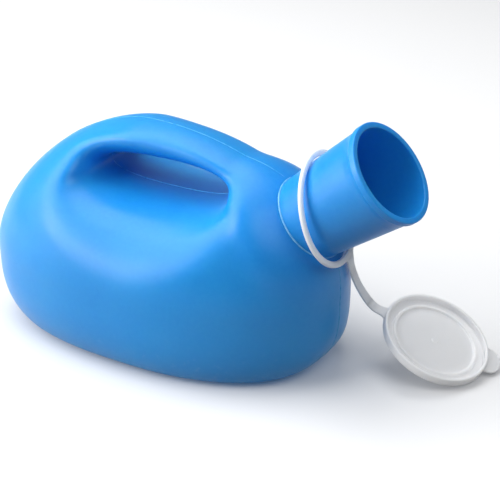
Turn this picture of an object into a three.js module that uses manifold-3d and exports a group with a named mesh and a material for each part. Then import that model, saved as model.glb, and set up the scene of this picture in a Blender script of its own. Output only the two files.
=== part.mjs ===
// Portable urine bottle, lying on its flat base, with its tethered lid hanging open.
//
// Frame, in millimetres: the origin is the middle of the flat base, +Z is up, and +X runs
// along the bottle towards the spout. The plane Y = 0 is the bottle's plane of symmetry,
// where the two halves of the blow mould meet.

import * as THREE from 'three';
import { LoftGeometry } from 'three/addons/geometries/LoftGeometry.js';
import { mergeVertices } from 'three/addons/utils/BufferGeometryUtils.js';
import Module from 'manifold-3d';

const wasm = await Module();
wasm.setup();

const rad = THREE.MathUtils.degToRad;

// ---- driving dimensions -------------------------------------------------------------

const WALL = 1.6;

// body: an egg whose outline is made of superellipse quarters
const BODY = {
  back: -124,            // x of the rear end
  front: 105.5,          // x of the front bulge, under the spout
  crest: -22,            // x of the highest point, on top of the handle
  wideLevel: 47,         // height of the widest level
  rise: 85.5,            // from the widest level up to the crest
  drop: 59,              // from the widest level down, before the base cuts it flat
  halfWidth: 70,
};
const PROFILE_POWER = {
  topFront: 2.1, topBack: 1.7,
  lowFront: 3.3, lowBack: 3,
  planFront: 2.1, planBack: 2.4,
  sectionTop: 1.9, sectionLow: 3.3,
};

// hand-hole: a slot through the body under the handle bar, flared to both sides
const HOLE = {
  centreX: -3.5,
  centreZ: 103,
  halfLength: 47,
  halfHeight: 9.7,
  forwardShift: 0.13,    // mm the centre moves forward per mm away from the middle
  lengthFlare: 8,        // extra half length at flareReach from the middle
  flareReach: 50,
  barRadius: 34,         // radius of the bar's rounded underside, seen along the bar
  floorRadius: 124,      // radius of the saddle-shaped floor, seen along the bar
  power: 2.4,
  flarePower: 1.5,
  barTurn: 0.8,          // share of barRadius past which the underside runs straight
  overrun: 10,           // how far the cutting solid runs past the widest level
  rowPower: 1.3,         // crowds the rows towards the middle
};

// spout: a cone that widens towards the mouth
const MOUTH = new THREE.Vector3(134.5, 0, 131);
const SPOUT_ANGLE = rad(37.5);
const SPOUT = {
  lipRadius: 30,
  boreRadius: 26.5,
  lipLength: 4,
  lipRound: 0.8,
  mouthRadius: 29,
  baseRadius: 24.4,
  baseBack: 66,          // distance from the mouth back to the spout's root
  rootBack: 76,          // the spout's solid runs on to here, inside the body
  boreBack: 90,
  rootStep: 1,           // the root end is this much narrower than the base
  overrun: 1,            // the bore's cutting solid runs this far past the mouth
};

// closure: neck ring, strap and lid, moulded in one piece of soft plastic
const RING = {
  bore: 29.6,
  outer: 33.2,
  thickness: 2,
  edge: 0.5,
  back: 48,              // distance of its centre back from the mouth
  hang: 0.5,             // distance of its centre below the spout's axis
  tilt: rad(19.7),       // its axis dips this far below the spout's
  yaw: rad(4.6),         // and turns this far towards the strap's side
};
const STRAP = { width: 6, thickness: 1.4, gap: 1.2, rootGap: 2.2, lidGap: 1.4, steps: 7 };
const STRAP_TURN = rad(14);      // the strap leaves the ring this far round from its lowest point
const LID = {
  centre: new THREE.Vector3(150.6, 35, 17.9),
  normal: new THREE.Vector3(0.445, -0.104, 0.889).normalize(),
  radius: 32.5,
  height: 5.5,
  panel: 1.5,
  skirtBore: 30.7,
  plugOuter: 26.2,
  plugInner: 24.4,
  plugHeight: 2,
  edge: 0.6,
};
// direction from the lid's centre towards the strap, before it is laid in the lid's plane
const LID_TO_STRAP = new THREE.Vector3(-0.873, -0.264, 0.407);
const TAB = { width: 18, length: 8, thickness: 1.4, gap: 0.3, turn: rad(8), roundness: 0.8 };

// the strap's route between its two ends, chosen by hand, and the way its width lies
const STRAP_ROUTE = [
  new THREE.Vector3(106.4, 12, 61.9),
  new THREE.Vector3(107.9, 17.3, 50.4),
  new THREE.Vector3(111.4, 22, 40.2),
  new THREE.Vector3(115.8, 24.4, 34.3),
];
const STRAP_ACROSS = new THREE.Vector3(0, 0.96, 0.28).normalize();

// fineness of the meshes
const BODY_ROWS = 30;
const BODY_COLUMNS = 40;
const HOLE_ROWS = 19;
const HOLE_COLUMNS = 32;
const TURNED_SEGMENTS = 48;
const TAB_SEGMENTS = 14;
const MERGE_TOLERANCE = 1e-4;

const PARTS = new THREE.Group();

// ---- small helpers ------------------------------------------------------------------

function toSolid(geometry) {
  geometry.deleteAttribute('normal');
  geometry.deleteAttribute('uv');
  const merged = mergeVertices(geometry, MERGE_TOLERANCE);
  return new wasm.Manifold(new wasm.Mesh({
    numProp: 3,
    vertProperties: new Float32Array(merged.attributes.position.array),
    triVerts: new Uint32Array(merged.index.array),
  }));
}

function toGeometry(solid) {
  const mesh = solid.getMesh();
  const geometry = new THREE.BufferGeometry();
  geometry.setAttribute('position', new THREE.BufferAttribute(mesh.vertProperties, 3));
  geometry.setIndex(new THREE.BufferAttribute(mesh.triVerts, 1));
  geometry.computeVertexNormals();
  return geometry;
}

function addPart(parent, name, geometry, material) {
  const mesh = new THREE.Mesh(geometry, material);
  mesh.name = name;
  parent.add(mesh);
  return mesh;
}

function points2(pairs) {
  return pairs.map(([r, y]) => new THREE.Vector2(r, y));
}

// a quarter of a superellipse: 1 at u = 0, falling to 0 at u = 1
function quarter(u, power) {
  return Math.pow(Math.max(0, 1 - Math.pow(u, power)), 1 / power);
}

function signedPower(value, power) {
  return Math.sign(value) * Math.pow(Math.abs(value), power);
}

// 1 at the origin of the outline, 0 at its front and back ends
function outline(x, origin, back, front, powerBack, powerFront) {
  if (x < origin) {
    return quarter((origin - x) / (origin - back), powerBack);
  }
  return quarter((x - origin) / (front - origin), powerFront);
}

// ---- body ---------------------------------------------------------------------------

// One cross-section of the egg at x, with its skin moved inwards by inset.
function bodySection(x, inset) {
  const back = BODY.back + inset;
  const front = BODY.front - inset;
  const middle = (back + front) / 2;
  const P = PROFILE_POWER;
  const rise = (BODY.rise - inset) * outline(x, BODY.crest, back, front, P.topBack, P.topFront);
  const drop = (BODY.drop - inset) * outline(x, middle, back, front, P.lowBack, P.lowFront);
  const half = (BODY.halfWidth - inset) * outline(x, 0, back, front, P.planBack, P.planFront);
  const ring = [];
  for (let j = 0; j < BODY_COLUMNS; j++) {
    const angle = (2 * Math.PI * (j + 0.5)) / BODY_COLUMNS;
    const c = Math.cos(angle);
    const s = Math.sin(angle);
    const power = 2 / (s > 0 ? P.sectionTop : P.sectionLow);
    const y = half * signedPower(c, power);
    const z = BODY.wideLevel + (s > 0 ? rise : drop) * signedPower(s, power);
    ring.push(new THREE.Vector3(x, y, Math.max(z, inset)));
  }
  return ring;
}

function bodySolid(inset) {
  const back = BODY.back + inset;
  const front = BODY.front - inset;
  const sections = [];
  for (let i = 0; i < BODY_ROWS; i++) {
    const sweep = Math.sin(((i + 0.5) / BODY_ROWS - 0.5) * Math.PI);
    const reach = sweep < 0 ? BODY.crest - back : front - BODY.crest;
    sections.push(bodySection(BODY.crest + sweep * reach, inset));
  }
  return toSolid(new LoftGeometry(sections, { capStart: true, capEnd: true }));
}

// Height that a round edge of the given radius gains at distance y from its middle;
// past HOLE.barTurn of the radius it runs on as a straight slope.
function roundGain(y, radius) {
  const turn = HOLE.barTurn * radius;
  const along = Math.min(y, turn);
  const gain = radius - Math.sqrt(radius * radius - along * along);
  const slope = turn / Math.sqrt(radius * radius - turn * turn);
  return gain + Math.max(0, y - turn) * slope;
}

// The hand-hole as a solid, with its skin moved outwards by grow.
function holeSolid(grow) {
  const H = HOLE;
  const reach = BODY.halfWidth + H.overrun;
  const sections = [];
  for (let i = 0; i < HOLE_ROWS; i++) {
    const side = -1 + (2 * i) / (HOLE_ROWS - 1);
    const y = reach * signedPower(side, H.rowPower);
    const away = Math.abs(y);
    const centreX = H.centreX + H.forwardShift * away;
    const flare = H.lengthFlare * Math.pow(away / H.flareReach, H.flarePower);
    const half = H.halfLength + grow + flare;
    const up = H.halfHeight + grow + roundGain(away, H.barRadius);
    const down = H.halfHeight + grow + (away * away) / (2 * H.floorRadius);
    const ring = [];
    for (let j = 0; j < HOLE_COLUMNS; j++) {
      const angle = (2 * Math.PI * j) / HOLE_COLUMNS;
      const c = signedPower(Math.cos(angle), 2 / H.power);
      const s = signedPower(Math.sin(angle), 2 / H.power);
      ring.push(new THREE.Vector3(centreX - half * c, y, H.centreZ + (s > 0 ? up : down) * s));
    }
    sections.push(ring);
  }
  return toSolid(new LoftGeometry(sections, { capStart: true, capEnd: true }));
}

// ---- spout --------------------------------------------------------------------------

// A lathe profile (radius, distance towards the mouth) stood on the spout's axis.
const SPOUT_FRAME = new THREE.Matrix4().compose(
  MOUTH,
  new THREE.Quaternion().setFromAxisAngle(new THREE.Vector3(0, 0, 1), SPOUT_ANGLE - Math.PI / 2)
    .premultiply(new THREE.Quaternion().setFromAxisAngle(new THREE.Vector3(1, 0, 0), Math.PI / 2)),
  new THREE.Vector3(1, 1, 1),
);

function spoutSolid(profile) {
  const geometry = new THREE.LatheGeometry(points2(profile), TURNED_SEGMENTS);
  geometry.applyMatrix4(SPOUT_FRAME);
  return toSolid(geometry);
}

function spoutOuter() {
  const S = SPOUT;
  return spoutSolid([
    [0, -S.rootBack],
    [S.baseRadius - S.rootStep, -S.rootBack],
    [S.baseRadius, -S.baseBack],
    [S.mouthRadius, -S.lipLength - S.lipRound],
    [S.lipRadius, -S.lipLength],
    [S.lipRadius, -S.lipRound],
    [S.lipRadius - S.lipRound, 0],
    [0, 0],
  ]);
}

function spoutBore() {
  const S = SPOUT;
  return spoutSolid([
    [0, -S.boreBack],
    [S.baseRadius - WALL, -S.boreBack],
    [S.baseRadius - WALL, -S.baseBack],
    [S.boreRadius, -S.lipLength],
    [S.boreRadius, S.overrun],
    [0, S.overrun],
  ]);
}

function bottleGeometry() {
  const skin = bodySolid(0).add(spoutOuter());
  const cavity = bodySolid(WALL).subtract(holeSolid(WALL));
  const bottle = skin.subtract(holeSolid(0)).subtract(cavity).subtract(spoutBore());
  return toGeometry(bottle);
}

// ---- closure ------------------------------------------------------------------------

const spoutAxis = new THREE.Vector3(Math.cos(SPOUT_ANGLE), 0, Math.sin(SPOUT_ANGLE));
const spoutUp = new THREE.Vector3(-spoutAxis.z, 0, spoutAxis.x);
const ringAngle = SPOUT_ANGLE - RING.tilt;
const ringAxis = new THREE.Vector3(
  Math.cos(ringAngle) * Math.cos(RING.yaw),
  Math.cos(ringAngle) * Math.sin(RING.yaw),
  Math.sin(ringAngle),
);
const ringDown = new THREE.Vector3(0, 0, -1).projectOnPlane(ringAxis).normalize();
const ringCentre = MOUTH.clone()
  .addScaledVector(spoutAxis, -RING.back)
  .addScaledVector(spoutUp, -RING.hang);
const strapRootDirection = ringDown.clone().applyAxisAngle(ringAxis, STRAP_TURN);

function turnYTo(direction) {
  return new THREE.Quaternion().setFromUnitVectors(new THREE.Vector3(0, 1, 0), direction);
}

function ringGeometry() {
  const half = RING.thickness / 2;
  const edge = RING.edge;
  return new THREE.LatheGeometry(points2([
    [RING.bore, -half + edge],
    [RING.bore + edge, -half],
    [RING.outer - edge, -half],
    [RING.outer, -half + edge],
    [RING.outer, half - edge],
    [RING.outer - edge, half],
    [RING.bore + edge, half],
    [RING.bore, half - edge],
    [RING.bore, -half + edge],
  ]), TURNED_SEGMENTS);
}

function lidGeometry() {
  const L = LID;
  const half = L.height / 2;
  const floor = -half + L.panel;
  const plug = floor + L.plugHeight;
  const edge = L.edge;
  return new THREE.LatheGeometry(points2([
    [0, -half],
    [L.radius - edge, -half],
    [L.radius, -half + edge],
    [L.radius, half - edge],
    [L.radius - edge, half],
    [L.skirtBore, half],
    [L.skirtBore, floor],
    [L.plugOuter, floor],
    [L.plugOuter, plug - edge],
    [L.plugOuter - edge, plug],
    [L.plugInner, plug],
    [L.plugInner, floor],
    [0, floor],
  ]), TURNED_SEGMENTS);
}

const lidToStrap = LID_TO_STRAP.clone().projectOnPlane(LID.normal).normalize();

function strapPath() {
  const start = ringCentre.clone().addScaledVector(strapRootDirection, RING.outer + STRAP.rootGap);
  const end = LID.centre.clone().addScaledVector(lidToStrap, LID.radius + STRAP.lidGap);
  return new THREE.CatmullRomCurve3([start, ...STRAP_ROUTE, end]);
}

// the stretch of strap between two lengths, measured along the path from the ring
function strapGeometry(path, from, to) {
  const total = path.getLength();
  const steps = STRAP.steps;
  const sections = [];
  for (let i = 0; i <= steps; i++) {
    const along = (from + ((to - from) * i) / steps) / total;
    const centre = path.getPointAt(along);
    const tangent = path.getTangentAt(along);
    const across = STRAP_ACROSS.clone().projectOnPlane(tangent).normalize();
    const through = tangent.clone().cross(across);
    const corners = [[1, -1], [1, 1], [-1, 1], [-1, -1]];
    sections.push(corners.map(([a, b]) => centre.clone()
      .addScaledVector(across, (a * STRAP.width) / 2)
      .addScaledVector(through, (b * STRAP.thickness) / 2)));
  }
  return new LoftGeometry(sections, { capStart: true, capEnd: true });
}

function tabGeometry() {
  const shape = new THREE.Shape();
  const half = TAB.width / 2;
  const tip = half * TAB.roundness;
  const straight = TAB.length - tip;
  shape.moveTo(-half, 0);
  shape.lineTo(half, 0);
  shape.lineTo(half, straight);
  shape.absellipse(0, straight, half, tip, 0, Math.PI, false);
  shape.closePath();
  return new THREE.ExtrudeGeometry(shape, {
    depth: TAB.thickness, bevelEnabled: false, curveSegments: TAB_SEGMENTS,
  });
}

// ---- materials ----------------------------------------------------------------------

const blue = new THREE.MeshStandardMaterial({ color: 0x3d9fe6, roughness: 0.35, metalness: 0 });
const white = new THREE.MeshStandardMaterial({ color: 0xdadce0, roughness: 0.4, metalness: 0 });

// ---- assembly -----------------------------------------------------------------------

addPart(PARTS, 'bottle_shell', bottleGeometry(), blue);

const ring = addPart(PARTS, 'neck_ring', ringGeometry(), white.clone());
ring.position.copy(ringCentre);
ring.quaternion.copy(turnYTo(ringAxis));

const path = strapPath();
const strapLength = path.getLength();
const strapHalf = strapLength / 2;
addPart(PARTS, 'strap_upper', strapGeometry(path, 0, strapHalf - STRAP.gap / 2), white.clone());
addPart(PARTS, 'strap_lower', strapGeometry(path, strapHalf + STRAP.gap / 2, strapLength), white.clone());

const lid = addPart(PARTS, 'lid_cap', lidGeometry(), white.clone());
lid.position.copy(LID.centre);
lid.quaternion.copy(turnYTo(LID.normal));

const tabAway = lidToStrap.clone().negate().applyAxisAngle(LID.normal, TAB.turn);
const tabAcross = tabAway.clone().cross(LID.normal);
const tab = addPart(PARTS, 'pull_tab', tabGeometry(), white.clone());
tab.quaternion.setFromRotationMatrix(new THREE.Matrix4().makeBasis(tabAcross, tabAway, LID.normal));
tab.position.copy(LID.centre)
  .addScaledVector(tabAway, LID.radius + TAB.gap)
  .addScaledVector(LID.normal, -TAB.thickness / 2);

export default PARTS;
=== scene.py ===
"""Portable urine bottle in blue polyethylene with its milky tethered lid, dressed around the CAD frame."""

import math
import random

import bmesh
import bpy
import numpy as np
from mathutils import Matrix, Vector


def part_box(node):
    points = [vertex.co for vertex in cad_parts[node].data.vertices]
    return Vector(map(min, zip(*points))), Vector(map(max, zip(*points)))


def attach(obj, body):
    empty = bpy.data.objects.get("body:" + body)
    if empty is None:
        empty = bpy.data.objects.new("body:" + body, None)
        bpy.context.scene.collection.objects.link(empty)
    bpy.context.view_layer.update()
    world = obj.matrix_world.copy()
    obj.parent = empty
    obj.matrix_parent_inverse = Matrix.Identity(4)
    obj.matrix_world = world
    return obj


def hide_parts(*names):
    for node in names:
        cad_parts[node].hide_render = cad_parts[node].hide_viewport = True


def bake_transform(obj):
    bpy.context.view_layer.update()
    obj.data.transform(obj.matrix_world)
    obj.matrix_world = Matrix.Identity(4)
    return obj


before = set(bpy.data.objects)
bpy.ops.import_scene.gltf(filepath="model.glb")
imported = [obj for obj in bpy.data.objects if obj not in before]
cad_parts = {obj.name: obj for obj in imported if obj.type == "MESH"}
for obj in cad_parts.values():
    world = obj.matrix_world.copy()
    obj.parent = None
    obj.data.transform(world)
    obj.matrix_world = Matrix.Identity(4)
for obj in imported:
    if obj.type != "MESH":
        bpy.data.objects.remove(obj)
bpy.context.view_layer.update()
MM = 0.001

# ---- camera, as the photograph was taken ------------------------------------------------

TURN = math.radians(31)
RAISE = math.radians(25)
CAMERA_PLACE = Vector((0.4519, -0.6757, 0.4314))
LENS = 107.7
SENSOR = 36


def add_camera():
    data = bpy.data.cameras.new("camera")
    data.lens = LENS
    data.sensor_width = SENSOR
    camera = bpy.data.objects.new("camera", data)
    bpy.context.scene.collection.objects.link(camera)
    camera.location = CAMERA_PLACE
    camera.rotation_euler = (math.pi / 2 - RAISE, 0, TURN)
    bpy.context.scene.camera = camera


# ---- form of the bottle, in millimetres -------------------------------------------------

WALL = 1.6
BACK, FRONT, CREST = -124.0, 105.5, -22.0
WIDE_LEVEL, RISE, DROP, HALF_WIDTH = 47.0, 85.5, 59.0, 70.0
MOUTH = np.array([134.5, 0.0, 131.0])
SPOUT_ANGLE = math.radians(37.5)
SPOUT_AXIS = np.array([math.cos(SPOUT_ANGLE), 0, math.sin(SPOUT_ANGLE)])
HEART = np.array([-5.0, 0.0, 47.0])
BASE_ROUNDING, SHOULDER_ROUNDING = 6.0, 8.0

# exponents of the egg's outlines, behind and ahead, and of its upper and lower sections
RISE_POWERS, DROP_POWERS, PLAN_POWERS = (1.7, 2.1), (3.0, 3.3), (2.4, 2.1)
UPPER_POWER, LOWER_POWER = 1.9, 3.3
RAY_LENGTH, HALVINGS = 200.0, 26

# the hand-hole: its middle, half sizes, lean, and how it widens towards the sides
HOLE_X, HOLE_Z, HOLE_LENGTH, HOLE_HEIGHT = -5.0, 103.0, 45.5, 9.7
HOLE_POWER, HOLE_LEAN = 2.4, 0.13
SPREAD_AHEAD, SPREAD_BEHIND, SPREAD_DEPTH, SPREAD_POWER = 3.0, 8.0, 50, 1.5
ROOF_RADIUS, ROOF_SHARE, FLOOR_SPREAD = 34.0, 0.8, 320
RIM_WIDTH, RIM_EXTRA, RIM_TOP, RIM_FADE = 16, 8, 105, 25

# the collar at the spout's root, by distance back from the mouth, radius and slope
COLLAR_FRONT, COLLAR_BACK, COLLAR_RUN = 62.0, 90, 19.4
COLLAR_RADIUS, COLLAR_SLOPE, COLLAR_CURVE = 25.4, 1.85, 21


def power(value, exponent):
    return np.power(np.maximum(value, 0), exponent)


def quarter(u, exponent):
    return power(1 - power(u, exponent), 1 / exponent)


def outline(x, origin, back, front, power_back, power_front):
    behind = quarter((origin - x) / (origin - back), power_back)
    ahead = quarter((x - origin) / (front - origin), power_front)
    return np.where(x < origin, behind, ahead)


def in_egg(points, inset):
    back, front = BACK + inset, FRONT - inset
    x, y, z = points.T
    rise = (RISE - inset) * outline(x, CREST, back, front, *RISE_POWERS)
    drop = (DROP - inset) * outline(x, (back + front) / 2, back, front, *DROP_POWERS)
    half = (HALF_WIDTH - inset) * outline(x, 0.0, back, front, *PLAN_POWERS)
    inside = (x > back) & (x < front)
    up = z > WIDE_LEVEL
    tall = np.maximum(np.where(up, rise, drop), 1e-6)
    exponent = np.where(up, UPPER_POWER, LOWER_POWER)
    level = power(np.abs(y) / np.maximum(half, 1e-6), exponent)
    level = level + power(np.abs(z - WIDE_LEVEL) / tall, exponent)
    return inside & (level < 1)


def egg_distance(points, inset=0.0):
    """Distance outside the egg, measured along the ray from its heart."""
    away = points - HEART
    length = np.linalg.norm(away, axis=1)
    ray = away / np.maximum(length, 1e-9)[:, None]
    low = np.zeros(len(points))
    high = np.full(len(points), RAY_LENGTH)
    for _ in range(HALVINGS):
        middle = (low + high) / 2
        inside = in_egg(HEART + ray * middle[:, None], inset)
        low = np.where(inside, middle, low)
        high = np.where(inside, high, middle)
    return length - low


def round_gain(away, radius):
    """Height gained along an arc of this radius, and past it along its tangent."""
    turn = ROOF_SHARE * radius
    along = np.minimum(away, turn)
    gain = radius - np.sqrt(radius**2 - along**2)
    slope = turn / math.sqrt(radius**2 - turn**2)
    return gain + np.maximum(0, away - turn) * slope


def hole_distance(points, grow=0.0):
    """Distance outside the hand-hole, measured in its own upright section."""
    x, y, z = points.T
    away = np.abs(y)
    dx = x - (HOLE_X + HOLE_LEAN * away)
    dz = z - HOLE_Z
    spread = np.where(dx > 0, SPREAD_AHEAD, SPREAD_BEHIND) * power(away / SPREAD_DEPTH, SPREAD_POWER)
    half = HOLE_LENGTH + grow + spread
    up = HOLE_HEIGHT + grow + round_gain(away, ROOF_RADIUS)
    down = HOLE_HEIGHT + grow + away**2 / FLOOR_SPREAD
    tall = np.where(dz > 0, up, down)
    level = power(np.abs(dx) / half, HOLE_POWER) + power(np.abs(dz) / tall, HOLE_POWER)
    level = power(level, 1 / HOLE_POWER)
    radius = np.hypot(dx, dz)
    return radius - radius / np.maximum(level, 1e-6)


def smooth_max(a, b, k):
    h = np.clip(0.5 + 0.5 * (a - b) / k, 0, 1)
    return b + (a - b) * h + k * h * (1 - h)


def shoulder_distance(points):
    """Distance outside a bell-shaped collar round the root of the spout, which sinks into the egg behind."""
    away = points - MOUTH
    back = -(away @ SPOUT_AXIS)
    radius = np.linalg.norm(away + back[:, None] * SPOUT_AXIS, axis=1)
    along = np.clip(back - COLLAR_FRONT, 0, COLLAR_RUN)
    steep = COLLAR_SLOPE - along / (COLLAR_CURVE / 2)
    bell = (radius - COLLAR_RADIUS - COLLAR_SLOPE * along + along**2 / COLLAR_CURVE) / np.sqrt(1 + steep**2)
    return np.maximum(np.maximum(bell, COLLAR_FRONT - back), back - COLLAR_BACK)


def hole_rim(points):
    """Width of the rounding where the hand-hole runs out into the body, wider below the hole."""
    return RIM_WIDTH + RIM_EXTRA * np.clip((RIM_TOP - points[:, 2]) / RIM_FADE, 0, 1)


def skin_field(points):
    """Below zero inside the bottle's outer skin, without its spout."""
    body = smooth_max(egg_distance(points), -points[:, 2], BASE_ROUNDING)
    body = -smooth_max(-body, -shoulder_distance(points), SHOULDER_ROUNDING)
    return smooth_max(body, -hole_distance(points), hole_rim(points))


def cavity_field(points):
    """Below zero inside the bottle's hollow."""
    body = smooth_max(egg_distance(points, WALL), WALL - points[:, 2], BASE_ROUNDING)
    return smooth_max(body, -hole_distance(points, WALL), hole_rim(points))


# ---- surface of a field -----------------------------------------------------------------


def field_surface(field, low, high, step):
    """Vertices and quads of the surface where field is zero, one vertex to a mixed cell.

    The field is worked out for half of Y and mirrored, so it must be the same on both sides.
    """
    axes = [np.arange(low[k], high[k] + step, step) for k in range(3)]
    shape = tuple(len(a) for a in axes)
    grid = np.stack(np.meshgrid(*axes, indexing="ij"), -1)
    half = shape[1] // 2 + 1
    value = np.empty(shape)
    value[:, :half] = field(grid[:, :half].reshape(-1, 3)).reshape(shape[0], half, shape[2])
    value[:, half:] = value[:, : shape[1] - half][:, ::-1]
    inside = value < 0
    total = np.zeros(tuple(n - 1 for n in shape) + (3,))
    count = np.zeros(tuple(n - 1 for n in shape))
    crossings = []
    for axis in range(3):
        first = [slice(None)] * 3
        second = [slice(None)] * 3
        first[axis] = slice(0, -1)
        second[axis] = slice(1, None)
        a, b = value[tuple(first)], value[tuple(second)]
        cut = np.argwhere(inside[tuple(first)] != inside[tuple(second)])
        va, vb = a[tuple(cut.T)], b[tuple(cut.T)]
        place = np.array([axes[k][cut[:, k]] for k in range(3)]).T
        place[:, axis] += step * va / (va - vb)
        others = [k for k in range(3) if k != axis]
        cells = []
        for da, db in ((0, 0), (1, 0), (1, 1), (0, 1)):
            cell = cut.copy()
            cell[:, others[0]] -= da
            cell[:, others[1]] -= db
            np.add.at(total, tuple(cell.T), place)
            np.add.at(count, tuple(cell.T), 1)
            cells.append(cell)
        turned = (va < 0) == (axis == 1)
        crossings.append((cells, turned))
    used = np.argwhere(count > 0)
    index = np.full(count.shape, -1)
    index[tuple(used.T)] = np.arange(len(used))
    vertices = total[tuple(used.T)] / count[tuple(used.T)][:, None]
    quads = []
    for cells, turned in crossings:
        quad = np.stack([index[tuple(c.T)] for c in cells], 1)
        quads.append(np.where(turned[:, None], quad[:, ::-1], quad))
    return settle(field, vertices), np.concatenate(quads)


def gradient(field, points, reach=0.05):
    slope = np.empty(points.shape)
    for axis in range(3):
        shift = np.zeros(3)
        shift[axis] = reach
        slope[:, axis] = (field(points + shift) - field(points - shift)) / (2 * reach)
    return slope


def settle(field, points, rounds=3):
    """Moves points onto the field's zero surface."""
    for _ in range(rounds):
        slope = gradient(field, points)
        square = np.maximum((slope**2).sum(1), 1e-3)
        move = -field(points)[:, None] * slope / square[:, None]
        size = np.linalg.norm(move, axis=1)
        points = points + move * np.minimum(1, 1.0 / np.maximum(size, 1e-9))[:, None]
    return points


def mesh_object(name, vertices, faces):
    mesh = bpy.data.meshes.new(name)
    corners = [list(map(int, face)) for face in faces]
    mesh.from_pydata([tuple(v) for v in np.asarray(vertices) * MM], [], corners)
    mesh.validate()
    mesh.update()
    obj = bpy.data.objects.new(name, mesh)
    bpy.context.scene.collection.objects.link(obj)
    return obj


def face_outwards(obj):
    fix = bmesh.new()
    fix.from_mesh(obj.data)
    bmesh.ops.recalc_face_normals(fix, faces=fix.faces)
    fix.to_mesh(obj.data)
    fix.free()


def lathe(name, profile, segments, origin, axis):
    """A closed body turned round axis from (radius, height) points that start and end on the axis or meet."""
    axis = Vector(axis).normalized()
    turn = Vector((0, 0, 1)).rotation_difference(axis).to_matrix()
    rings, vertices, faces = [], [], []
    for radius, height in profile:
        if radius < 1e-6:
            rings.append([len(vertices)])
            vertices.append((0.0, 0.0, height))
            continue
        rings.append(list(range(len(vertices), len(vertices) + segments)))
        for k in range(segments):
            angle = 2 * math.pi * k / segments
            vertices.append((radius * math.cos(angle), radius * math.sin(angle), height))
    pairs = list(zip(rings, rings[1:]))
    if len(rings[0]) > 1:
        pairs.append((rings[-1], rings[0]))
    for a, b in pairs:
        for k in range(segments):
            n = (k + 1) % segments
            corners = [a[k % len(a)], a[n % len(a)], b[n % len(b)], b[k % len(b)]]
            corners = list(dict.fromkeys(corners))
            if len(corners) > 2:
                faces.append(corners)
    placed = [Vector(origin) + turn @ Vector(v) for v in vertices]
    obj = mesh_object(name, placed, faces)
    face_outwards(obj)
    return obj


def arc(centre, radius, start, end, steps):
    """Points (radius, height) on an arc between two angles in degrees."""
    points = []
    for k in range(steps + 1):
        angle = math.radians(start + (end - start) * k / steps)
        points.append((centre[0] + radius * math.cos(angle), centre[1] + radius * math.sin(angle)))
    return points


def combine(obj, other, operation):
    step = obj.modifiers.new(operation.lower(), "BOOLEAN")
    step.operation = operation
    step.object = other
    step.solver = "MANIFOLD"
    bpy.context.view_layer.update()
    graph = bpy.context.evaluated_depsgraph_get()
    done = bpy.data.meshes.new_from_object(obj.evaluated_get(graph))
    obj.modifiers.clear()
    old = obj.data
    obj.data = done
    bpy.data.meshes.remove(old)
    bpy.data.objects.remove(other)


def shade(obj, angle=35):
    mesh = obj.data
    mesh.shade_smooth()
    mesh.set_sharp_from_angle(angle=math.radians(angle))


# ---- bottle -----------------------------------------------------------------------------

SPOUT_SIDES = 160
SPOUT_BASE = (24.4, -66.0)
SPOUT_END, SPOUT_RUN, FLARE_LENGTH, FLARE_STEPS = 29.0, 62.0, 60.6, 12
SPOUT_BURIED, LINE_RUN = 10, 61
FINE_STEP, QUICK_STEP, HOLLOW_STEP = 1.8, 3.0, 2.9
SKIN_SPAN, HOLLOW_SPAN = 74, 76
GRID_BACK, GRID_FRONT, GRID_FLOOR, GRID_TOP = -128, 110, -6, 139


def spout_outer():
    radius, start = SPOUT_BASE
    slope = (SPOUT_END - radius) / SPOUT_RUN
    buried = start - SPOUT_BURIED
    profile = [(0, buried), (radius - SPOUT_BURIED * slope, buried), SPOUT_BASE]
    for k in range(1, FLARE_STEPS + 1):
        far = k * FLARE_LENGTH / FLARE_STEPS
        profile.append((radius + slope * far, start + far))
    profile += arc((29.2, -3.4), 0.8, -35, 0, 3)
    profile += arc((29.3, -0.7), 0.7, 0, 90, 5)
    profile += [(0, 0)]
    return lathe("spout", profile, SPOUT_SIDES, MOUTH, SPOUT_AXIS)


def spout_bore():
    profile = [(0, -90), (21.6, -90), (22.4, -66), (26.3, -5)]
    profile += arc((27.1, -0.6), 0.6, 180, 90, 4)
    profile += [(27.1, 2), (0, 2)]
    return lathe("bore", profile, SPOUT_SIDES, MOUTH, SPOUT_AXIS)


def bottle_surface(name, field, span, step):
    """The mesh of a field. The grid has a layer at Y = 0, so that the mirrored half meets the first."""
    half = math.ceil(span / step) * step
    low = (GRID_BACK, -half, GRID_FLOOR)
    high = (GRID_FRONT, half - step / 2, GRID_TOP)
    return mesh_object(name, *field_surface(field, low, high, step))


def build_bottle():
    fine = FINE_STEP
    skin = bottle_surface("bottle", skin_field, SKIN_SPAN + fine, fine)
    hollow = bottle_surface("hollow", cavity_field, HOLLOW_SPAN, HOLLOW_STEP)
    combine(skin, spout_outer(), "UNION")
    combine(skin, hollow, "DIFFERENCE")
    combine(skin, spout_bore(), "DIFFERENCE")
    shade(skin, 40)
    return skin


def first_inside(tracks):
    """Where each track of points, all of one length, first enters the skin."""
    count, length = tracks.shape[:2]
    value = skin_field(tracks.reshape(-1, 3)).reshape(count, length)
    cut = np.maximum(np.argmax(value < 0, axis=1), 1)
    row = np.arange(count)
    share = value[row, cut - 1] / (value[row, cut - 1] - value[row, cut])
    before, after = tracks[row, cut - 1], tracks[row, cut]
    return before + (after - before) * share[:, None]


def outline_points(centre, start, end, steps, reach):
    """Points of the skin in the plane of symmetry, found along rays from centre at even angles in degrees."""
    angle = np.radians(np.linspace(start, end, steps + 1))
    rays = np.stack([np.cos(angle), 0 * angle, np.sin(angle)], 1)
    return first_inside(np.array(centre) + rays[:, None] * reach[None, :, None])


def skin_normals(places):
    slope = gradient(skin_field, np.array(places))
    return slope / np.linalg.norm(slope, axis=1)[:, None]


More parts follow.
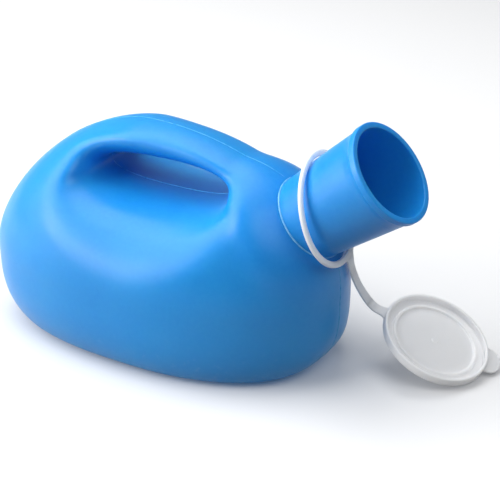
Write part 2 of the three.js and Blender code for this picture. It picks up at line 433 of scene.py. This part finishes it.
BEAD_SUNK, BEAD_TAPER = 0.3, 6
HEIGHT_WANDER, WIDTH_WANDER = (0.8, 1.1), (0.85, 1.1)
SEAM_BEAD, HOLE_BEAD, NECK_BEAD, SPOUT_BEAD = (0.7, 0.22), (0.8, 0.3), (1.5, 0.8), (0.6, 0.16)


def bead(name, line, normals, width, proud, looped=False):
    """A low raised line that lies along the skin with its edges sunk into it, a little uneven."""
    count = len(line)
    wander = random.Random(11)
    vertices = []
    for k, place in enumerate(line):
        before = line[(k - 1) % count] if looped or k else place
        after = line[(k + 1) % count] if looped or k < count - 1 else place
        along = (after - before) / np.linalg.norm(after - before)
        side = np.cross(along, normals[k])
        taper = 1.0 if looped else min(1.0, min(k, count - 1 - k) / BEAD_TAPER)
        rise = proud * taper * wander.uniform(*HEIGHT_WANDER)
        half = width / 2 * wander.uniform(*WIDTH_WANDER)
        flank = 0.55 * rise
        for across, up in ((-1, -BEAD_SUNK), (-0.6, flank), (0, rise), (0.6, flank), (1, -BEAD_SUNK)):
            vertices.append(place + side * half * across + normals[k] * up)
    sides = 5
    faces = []
    for k in range(count if looped else count - 1):
        a, b = k * sides, (k + 1) % count * sides
        for j in range(sides):
            m = (j + 1) % sides
            faces.append([a + j, a + m, b + m, b + j])
    if not looped:
        faces.append(list(range(sides)))
        faces.append(list(range((count - 1) * sides, count * sides)))
    obj = mesh_object(name, vertices, faces)
    face_outwards(obj)
    shade(obj, 60)
    return obj


def spout_ray(turn, back, radius):
    """A point round the spout's axis, at a distance back from the mouth, and its outward direction."""
    up = np.array([-SPOUT_AXIS[2], 0, SPOUT_AXIS[0]])
    out = up * math.cos(turn) + np.array([0, 1, 0]) * math.sin(turn)
    return MOUTH - SPOUT_AXIS * back + out * radius, out


def spout_radius(back):
    return SPOUT_BASE[0] + (SPOUT_END - SPOUT_BASE[0]) * (-SPOUT_BASE[1] - back) / LINE_RUN


def neck_line():
    """The closed line where the spout leaves the body, and the normals of a bead on it."""
    turns = np.arange(120) * math.pi / 60
    backs = np.arange(50.0, 74.0, 0.25)
    tracks = np.array([[spout_ray(turn, back, spout_radius(back))[0] for back in backs] for turn in turns])
    line = first_inside(tracks)
    normals = skin_normals(line) + np.array([spout_ray(turn, 0, 0)[1] for turn in turns])
    return line, normals / np.linalg.norm(normals, axis=1)[:, None]


def build_mould_lines():
    """Raised lines left by the blow mould: over the handle, down the front, round the hand-hole and the
    root of the spout, and along the spout above and below."""
    pieces = []
    inward = np.arange(150.0, 20.0, -0.5)
    for name, start, end, steps in (("seam_over_handle", 42.5, 204, 190), ("seam_down_front", 13.5, -25, 44)):
        line = outline_points(HEART, start, end, steps, inward)
        pieces.append(bead(name, line, skin_normals(line), *SEAM_BEAD))
    line = outline_points((HOLE_X, 0, HOLE_Z), 0, 357, 119, np.arange(1.0, 70.0, 0.5))
    pieces.append(bead("seam_in_hand_hole", line, skin_normals(line), *HOLE_BEAD, looped=True))
    line, normals = neck_line()
    pieces.append(bead("neck_root_line", line, normals, *NECK_BEAD, looped=True))
    for name, turn in (("seam_on_spout_top", 0.0), ("seam_under_spout", math.pi)):
        spots = [spout_ray(turn, back, spout_radius(back)) for back in np.arange(9.0, 58.0, 2.0)]
        places, normals = zip(*spots)
        pieces.append(bead(name, places, normals, *SPOUT_BEAD))
    return pieces


# ---- closure ----------------------------------------------------------------------------

RING_RAISE, RING_YAW = math.radians(17.8), math.radians(4.6)
RING_AXIS = Vector((math.cos(RING_RAISE) * math.cos(RING_YAW), math.cos(RING_RAISE) * math.sin(RING_YAW),
                    math.sin(RING_RAISE)))
LID_AXIS = Vector((0.445, -0.104, 0.889)).normalized()
RING_BORE, RING_OUTER = 29.6, 33.2
STRAP_TURN = math.radians(14)
STRAP_THICK = 1.4
STRAP_ACROSS = Vector((0, 0.96, 0.28)).normalized()
STRAP_STEPS = 26
STRAP_HALF, STRAP_WIDER, STRAP_FLARE, FLARE_FADE = 2.75, 0.3, 2.6, 1.6
STRAP_EDGE = 0.45
STRAP_SINK, RING_GAP, LID_GAP = 1.2, 2.2, 1.4
STRAP_KNOTS = ((106.4, 12, 61.9), (107.9, 17.3, 50.4), (111.4, 22, 40.2), (115.8, 24.4, 34.3))
KNOT_STEPS = 14
STRAP_NARROWEST, STRAP_EASE = 0.42, 0.35
STRAP_CUTS = (0.0, 0.26, 0.74, 1.0)
LID_RADIUS, LID_HALF, LID_PANEL = 32.5, 2.75, 1.5
TAB_HALF, TAB_REACH, TAB_ROUND, TAB_STEPS = 9.5, 8.3, 7.2, 24
TAB_ROOT, TAB_DEPTH = 33, 9
TAB_TURN = math.radians(8)


def middle(node):
    low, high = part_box(node)
    return (low + high) / 2 / MM


def rounded_band(inner, outer, low, high, edge):
    """A ring's section with four rounded corners, as (radius, height) points that meet."""
    points = []
    for corner, start in (((outer - edge, low + edge), -90), ((outer - edge, high - edge), 0),
                          ((inner + edge, high - edge), 90), ((inner + edge, low + edge), 180)):
        points += arc(corner, edge, start, start + 90, 3)
    return points


def build_ring():
    section = rounded_band(RING_BORE, RING_OUTER, -1.0, 1.0, 0.55)
    ring = lathe("neck_ring_moulding", section, 128, middle("neck_ring"), RING_AXIS)
    shade(ring, 50)
    return ring


def lid_section():
    """The lid turned about its own axis: flat panel, press-on skirt, groove and plug ring."""
    top, floor = LID_HALF, -LID_HALF + LID_PANEL
    # outer face, a little hollow, then its edge and the skirt's side
    points = [(0, -LID_HALF + 0.25), (12, -LID_HALF + 0.22), (27, -LID_HALF + 0.08)]
    points += arc((LID_RADIUS - 0.9, -LID_HALF + 0.9), 0.9, -90, 0, 5)
    points += [(LID_RADIUS - 0.15, 0.4)]
    # the skirt's rim, its catch, and the groove's floor
    points += arc((LID_RADIUS - 0.75, top - 0.75), 0.75, 0, 90, 4)
    points += arc((31.1, top - 0.4), 0.4, 90, 180, 3)
    points += [(30.55, top - 1.6), (30.9, top - 2.6)]
    points += arc((30.3, floor + 0.5), 0.5, 0, -90, 3)
    points += arc((26.9, floor + 0.5), 0.5, -90, -180, 3)
    # the plug ring, then the panel's inner face with its gate mark
    points += arc((25.6, floor + 0.9), 0.6, 0, 90, 4)
    points += arc((25.1, floor + 0.8), 0.7, 90, 180, 4)
    points += arc((23.6, floor + 0.8), 0.8, 0, -90, 5)
    points += [(20, floor), (19.6, floor + 0.12), (8, floor + 0.14), (2.2, floor + 0.14)]
    points += [(2.0, floor + 0.34), (1.2, floor + 0.42), (0, floor + 0.42)]
    return points


def build_lid():
    lid = lathe("lid_moulding", lid_section(), 160, middle("lid_cap"), LID_AXIS)
    shade(lid, 32)
    return lid


def lid_to_strap():
    direction = Vector((-0.873, -0.264, 0.407))
    return (direction - LID_AXIS * direction.dot(LID_AXIS)).normalized()


def build_tab():
    """The tongue that a finger pulls: flared where it leaves the skirt, with a rolled edge."""
    away = Matrix.Rotation(TAB_TURN, 3, LID_AXIS) @ -lid_to_strap()
    across = away.cross(LID_AXIS)
    centre = middle("lid_cap")
    reach, half = LID_RADIUS + TAB_REACH, TAB_HALF
    curve = []
    for k in range(TAB_STEPS + 1):
        angle = math.pi * k / TAB_STEPS
        curve.append((half * math.cos(angle), reach - TAB_ROUND + TAB_ROUND * math.sin(angle)))
    flare = [(half + 1.6, 30.2), (half + 0.7, 31.4), (half + 0.15, 32.6)]
    rim = flare + curve + [(-x, y) for x, y in reversed(flare)]
    layers = [(0.0, 0.45), (0.35, 0.7), (0.8, 0.7), (1.15, 0.45), (1.9, 0.5), (2.6, 0.5)]
    vertices, faces = [], []
    for side in (1, -1):
        for inset, level in layers:
            for x, y in rim:
                shrink = inset / half
                place = (x * (1 - shrink), (y - TAB_ROOT) * (1 - inset / TAB_DEPTH) + TAB_ROOT)
                vertices.append(centre + across * place[0] + away * place[1] + LID_AXIS * side * level)
    count = len(rim)
    rows = len(layers)
    for side in range(2):
        base = side * rows * count
        for row in range(rows - 1):
            for k in range(count):
                n = (k + 1) % count
                a, b = base + row * count, base + (row + 1) * count
                faces.append([a + k, a + n, b + n, b + k])
        last = base + (rows - 1) * count
        faces.append([last + k for k in range(count)])
    for k in range(count):
        n = (k + 1) % count
        faces.append([k, n, rows * count + n, rows * count + k])
    tab = mesh_object("pull_tab_moulding", vertices, faces)
    face_outwards(tab)
    shade(tab, 40)
    return tab


def strap_route():
    """Points along the strap's middle, from inside the ring to inside the lid's skirt."""
    ring, lid = middle("neck_ring"), middle("lid_cap")
    down = Vector((0, 0, -1)) + RING_AXIS * RING_AXIS.z
    root = Matrix.Rotation(STRAP_TURN, 3, RING_AXIS) @ down.normalized()
    knots = [ring + root * (RING_OUTER - STRAP_SINK), ring + root * (RING_OUTER + RING_GAP)]
    knots += [Vector(place) for place in STRAP_KNOTS]
    knots += [lid + lid_to_strap() * (LID_RADIUS + LID_GAP), lid + lid_to_strap() * (LID_RADIUS - STRAP_SINK)]
    return smooth_path(knots, KNOT_STEPS)


def smooth_path(knots, steps):
    """A Catmull-Rom curve through the knots."""
    ends = [knots[0] * 2 - knots[1]] + knots + [knots[-1] * 2 - knots[-2]]
    points = []
    for a, b, c, d in zip(ends, ends[1:], ends[2:], ends[3:]):
        for k in range(steps):
            t = k / steps
            points.append(((2 * b) + (c - a) * t + (2 * a - 5 * b + 4 * c - d) * t**2
                           + (3 * b - 3 * c + d - a) * t**3) / 2)
    points.append(knots[-1])
    return points


def lengths(points):
    total = [0.0]
    for a, b in zip(points, points[1:]):
        total.append(total[-1] + (b - a).length)
    return total


def strap_piece(name, route, start, end):
    """The stretch of strap between two shares of its length, flared towards ring and lid."""
    run = lengths(route)
    sections = []
    for k in range(STRAP_STEPS + 1):
        share = start + (end - start) * k / STRAP_STEPS
        target = share * run[-1]
        i = max(0, min(len(run) - 2, next(n for n, r in enumerate(run) if r >= target - 1e-9) - 1))
        part = (target - run[i]) / (run[i + 1] - run[i])
        centre = route[i].lerp(route[i + 1], part)
        tangent = (route[min(i + 2, len(route) - 1)] - route[max(i - 1, 0)]).normalized()
        across = (STRAP_ACROSS - tangent * STRAP_ACROSS.dot(tangent)).normalized()
        through = tangent.cross(across)
        near = min(target, run[-1] - target)
        half = STRAP_HALF + STRAP_WIDER * min(1, abs(share - STRAP_NARROWEST) / STRAP_EASE)
        half += STRAP_FLARE * math.exp(-near / FLARE_FADE)
        thick = STRAP_THICK / 2
        ring = []
        for sx, sy, begin in ((1, 1, 0), (-1, 1, 90), (-1, -1, 180), (1, -1, 270)):
            for n in range(4):
                angle = math.radians(begin + 30 * n)
                x = sx * (half - STRAP_EDGE) + STRAP_EDGE * math.cos(angle)
                y = sy * (thick - STRAP_EDGE) + STRAP_EDGE * math.sin(angle)
                ring.append(centre + across * x + through * y)
        sections.append(ring)
    sides = len(sections[0])
    vertices = [p for ring in sections for p in ring]
    faces = [list(range(sides))[::-1], list(range(STRAP_STEPS * sides, (STRAP_STEPS + 1) * sides))]
    for k in range(STRAP_STEPS):
        for j in range(sides):
            m = (j + 1) % sides
            faces.append([k * sides + j, k * sides + m, (k + 1) * sides + m, (k + 1) * sides + j])
    obj = mesh_object(name, vertices, faces)
    face_outwards(obj)
    shade(obj, 50)
    return obj


# ---- materials --------------------------------------------------------------------------


def add(tree, kind, **inputs):
    node = tree.nodes.new(kind)
    for name, value in inputs.items():
        node.inputs[name.replace("_", " ")].default_value = value
    return node


def noise(tree, place, scale, detail=3.0):
    node = add(tree, "ShaderNodeTexNoise", Scale=scale, Detail=detail)
    tree.links.new(place, node.inputs["Vector"])
    return node.outputs["Fac"]


def remap(tree, value, low, high, to_low, to_high):
    node = tree.nodes.new("ShaderNodeMapRange")
    for name, number in (("From Min", low), ("From Max", high), ("To Min", to_low), ("To Max", to_high)):
        node.inputs[name].default_value = number
    tree.links.new(value, node.inputs["Value"])
    return node.outputs["Result"]


def math_node(tree, operation, a, b):
    node = tree.nodes.new("ShaderNodeMath")
    node.operation = operation
    for k, value in enumerate((a, b)):
        if isinstance(value, float):
            node.inputs[k].default_value = value
        else:
            tree.links.new(value, node.inputs[k])
    return node.outputs[0]


def mix_colour(tree, factor, a, b):
    node = tree.nodes.new("ShaderNodeMix")
    node.data_type = "RGBA"
    tree.links.new(factor, node.inputs["Factor"])
    for socket, value in ((node.inputs[6], a), (node.inputs[7], b)):
        if isinstance(value, tuple):
            socket.default_value = (*value, 1)
        else:
            tree.links.new(value, socket)
    return node.outputs[2]


def bumps(tree, shader, layers):
    """Stacks bump nodes, each with (height, strength, distance)."""
    last = None
    for height, strength, distance in layers:
        node = add(tree, "ShaderNodeBump", Strength=strength, Distance=distance)
        tree.links.new(height, node.inputs["Height"])
        if last is not None:
            tree.links.new(last, node.inputs["Normal"])
        last = node.outputs["Normal"]
    tree.links.new(last, shader.inputs["Normal"])


def new_material(name):
    material = bpy.data.materials.new(name)
    material.use_nodes = True
    tree = material.node_tree
    shader = tree.nodes["Principled BSDF"]
    place = tree.nodes.new("ShaderNodeTexCoord").outputs["Object"]
    return material, tree, shader, place


def blue_polyethylene():
    """Blow-moulded polyethylene: satin gloss, faint waviness and orange peel, rubbed near the base."""
    material, tree, shader, place = new_material("blue_polyethylene")
    height = tree.nodes.new("ShaderNodeSeparateXYZ")
    tree.links.new(place, height.inputs[0])
    cloud = remap(tree, noise(tree, place, 14.0), 0.35, 0.65, 0.0, 1.0)
    speck = remap(tree, noise(tree, place, 420.0, 2.0), 0.3, 0.7, 0.0, 1.0)
    body = mix_colour(tree, cloud, (0.008, 0.278, 0.755), (0.014, 0.308, 0.785))
    body = mix_colour(tree, math_node(tree, "MULTIPLY", speck, 0.14), body, (0.040, 0.39, 0.86))
    low = remap(tree, height.outputs["Z"], 0.002, 0.030, 1.0, 0.0)
    scuff = remap(tree, noise(tree, place, 260.0, 6.0), 0.60, 0.72, 0.0, 1.0)
    worn = math_node(tree, "MULTIPLY", scuff, low)
    body = mix_colour(tree, math_node(tree, "MULTIPLY", worn, 0.35), body, (0.17, 0.45, 0.85))
    tree.links.new(body, shader.inputs["Base Color"])
    rough = remap(tree, noise(tree, place, 38.0, 4.0), 0.3, 0.7, 0.30, 0.40)
    rough = math_node(tree, "ADD", rough, math_node(tree, "MULTIPLY", worn, 0.22))
    tree.links.new(rough, shader.inputs["Roughness"])
    shader.inputs["IOR"].default_value = 1.52
    shader.inputs["Specular IOR Level"].default_value = 0.35
    shader.inputs["Subsurface Weight"].default_value = 0.5
    shader.inputs["Subsurface Radius"].default_value = (0.25, 0.65, 1.0)
    shader.inputs["Subsurface Scale"].default_value = 0.004
    bumps(tree, shader, [(noise(tree, place, 26.0, 2.0), 0.25, 0.0009),
                         (noise(tree, place, 190.0, 2.0), 0.20, 0.00020),
                         (noise(tree, place, 1400.0, 2.0), 0.16, 0.00006)])
    return material


def mould_line_material(name, deep, pale):
    """The thin lips of plastic along the mould lines, paler and duller than the wall; the much paler pair of
    colours given for the line at the spout's root is a painted highlight.
    """
    material, tree, shader, place = new_material(name)
    broken = remap(tree, noise(tree, place, 320.0, 3.0), 0.35, 0.6, 0.0, 1.0)
    tree.links.new(mix_colour(tree, broken, deep, pale), shader.inputs["Base Color"])
    tree.links.new(remap(tree, broken, 0.0, 1.0, 0.45, 0.6), shader.inputs["Roughness"])
    shader.inputs["IOR"].default_value = 1.52
    shader.inputs["Specular IOR Level"].default_value = 0.2
    bumps(tree, shader, [(noise(tree, place, 900.0, 2.0), 0.2, 0.00008)])
    return material


def white_closure():
    """Milky soft polyethylene: light passes a little way in, and the moulded face is satin."""
    material, tree, shader, place = new_material("white_closure")
    cloud = remap(tree, noise(tree, place, 60.0), 0.35, 0.65, 0.0, 1.0)
    fine = remap(tree, noise(tree, place, 700.0, 3.0), 0.35, 0.65, 0.0, 1.0)
    colour = mix_colour(tree, cloud, (0.930, 0.930, 0.938), (0.955, 0.950, 0.955))
    colour = mix_colour(tree, math_node(tree, "MULTIPLY", fine, 0.12), colour, (0.88, 0.88, 0.90))
    tree.links.new(colour, shader.inputs["Base Color"])
    rough = remap(tree, noise(tree, place, 90.0, 4.0), 0.3, 0.7, 0.33, 0.45)
    tree.links.new(rough, shader.inputs["Roughness"])
    shader.inputs["IOR"].default_value = 1.51
    shader.inputs["Subsurface Weight"].default_value = 0.85
    shader.inputs["Subsurface Radius"].default_value = (1.0, 0.95, 0.9)
    shader.inputs["Subsurface Scale"].default_value = 0.0040
    bumps(tree, shader, [(noise(tree, place, 120.0, 2.0), 0.18, 0.00020),
                         (noise(tree, place, 1500.0, 2.0), 0.16, 0.00005)])
    return material


def pale_floor():
    material, tree, shader, place = new_material("pale_floor")
    colour = mix_colour(tree, noise(tree, place, 3.0, 2.0), (0.86, 0.865, 0.87), (0.88, 0.88, 0.885))
    tree.links.new(colour, shader.inputs["Base Color"])
    shader.inputs["Roughness"].default_value = 0.75
    return material


# ---- stage ------------------------------------------------------------------------------


FLOOR_REACH, FLOOR_DROP = 6.0, 0.0004
LIGHT_AIM = Vector((0.01, 0, 0.06))
LIGHTS = (("key", (-1.2, -0.7, 1.0), 1.9, 26),
          ("low", (-0.85, -0.95, 0.45), 0.9, 8),
          ("top", (-0.4, 0.25, 1.5), 1.4, 14),
          ("fill", (0.85, -0.35, 1.15), 1.1, 6))
SKY_COLOUR, SKY_STRENGTH = (0.95, 0.97, 1.0, 1), 0.24


def add_floor():
    """A pale floor just under the bottle, which throws no diffuse light back up at it."""
    mesh = bpy.data.meshes.new("floor")
    corners = [(x * FLOOR_REACH, y * FLOOR_REACH, 0) for x, y in ((-1, -1), (1, -1), (1, 1), (-1, 1))]
    mesh.from_pydata(corners, [], [(0, 1, 2, 3)])
    floor = bpy.data.objects.new("floor", mesh)
    bpy.context.scene.collection.objects.link(floor)
    floor.location.z = -FLOOR_DROP
    floor.visible_diffuse = False
    floor.data.materials.append(pale_floor())


def add_light(name, place, size, energy):
    data = bpy.data.lights.new(name, "AREA")
    data.shape = "DISK"
    data.size = size
    data.energy = energy
    light = bpy.data.objects.new(name, data)
    bpy.context.scene.collection.objects.link(light)
    light.location = place
    aim = LIGHT_AIM - Vector(place)
    light.rotation_euler = aim.to_track_quat("-Z", "Y").to_euler()


def add_lights():
    world = bpy.data.worlds.new("studio")
    world.use_nodes = True
    sky = world.node_tree.nodes["Background"]
    sky.inputs["Color"].default_value = SKY_COLOUR
    sky.inputs["Strength"].default_value = SKY_STRENGTH
    bpy.context.scene.world = world
    for light in LIGHTS:
        add_light(*light)


# ---- assembly ---------------------------------------------------------------------------


def dress(piece, material):
    piece.data.materials.clear()
    piece.data.materials.append(material)


def add_strap(white):
    """The strap in three lengths. Each row also names a joint, with a stretch before and after it in metres,
    which nothing here uses.
    """
    route = strap_route()
    spans = (("strap_root", "ring", "strap_upper", "lid_lift", -0.0010, 0.0045, ("strap_upper",)),
             ("strap_middle", "strap_upper", "strap_lower", "strap_bend", -0.0125, 0.0125,
              ("strap_upper", "strap_lower")),
             ("strap_end", "strap_lower", "lid", "lid_tilt", -0.0045, 0.0005, ("strap_lower",)))
    for k, (name, first, second, joint, before, after, nodes) in enumerate(spans):
        piece = strap_piece(name, route, STRAP_CUTS[k], STRAP_CUTS[k + 1])
        dress(piece, white)
        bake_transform(piece)
        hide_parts(*nodes)


add_camera()
blue = blue_polyethylene()
white = white_closure()

bottle = build_bottle()
dress(bottle, blue)
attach(bottle, "bottle")
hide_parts("bottle_shell")
flash = mould_line_material("mould_line_material", (0.02, 0.32, 0.74), (0.12, 0.48, 0.86))
# the line at the spout's root gets much paler colours: a painted highlight, the light its tight fillet
# catches
neck_line_painted_highlight = mould_line_material("blue_neck_painted_highlight", (0.14, 0.52, 0.90), (0.30, 0.68, 0.97))
for line in build_mould_lines():
    dress(line, neck_line_painted_highlight if line.name == "neck_root_line" else flash)
    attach(line, "bottle")

ring = build_ring()
dress(ring, white)
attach(ring, "ring")
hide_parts("neck_ring")

lid = build_lid()
dress(lid, white)
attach(lid, "lid")
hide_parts("lid_cap")

tab = build_tab()
dress(tab, white)
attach(tab, "lid")
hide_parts("pull_tab")

add_strap(white)
add_floor()
add_lights()
bpy.context.scene.view_settings.view_transform = "Standard"
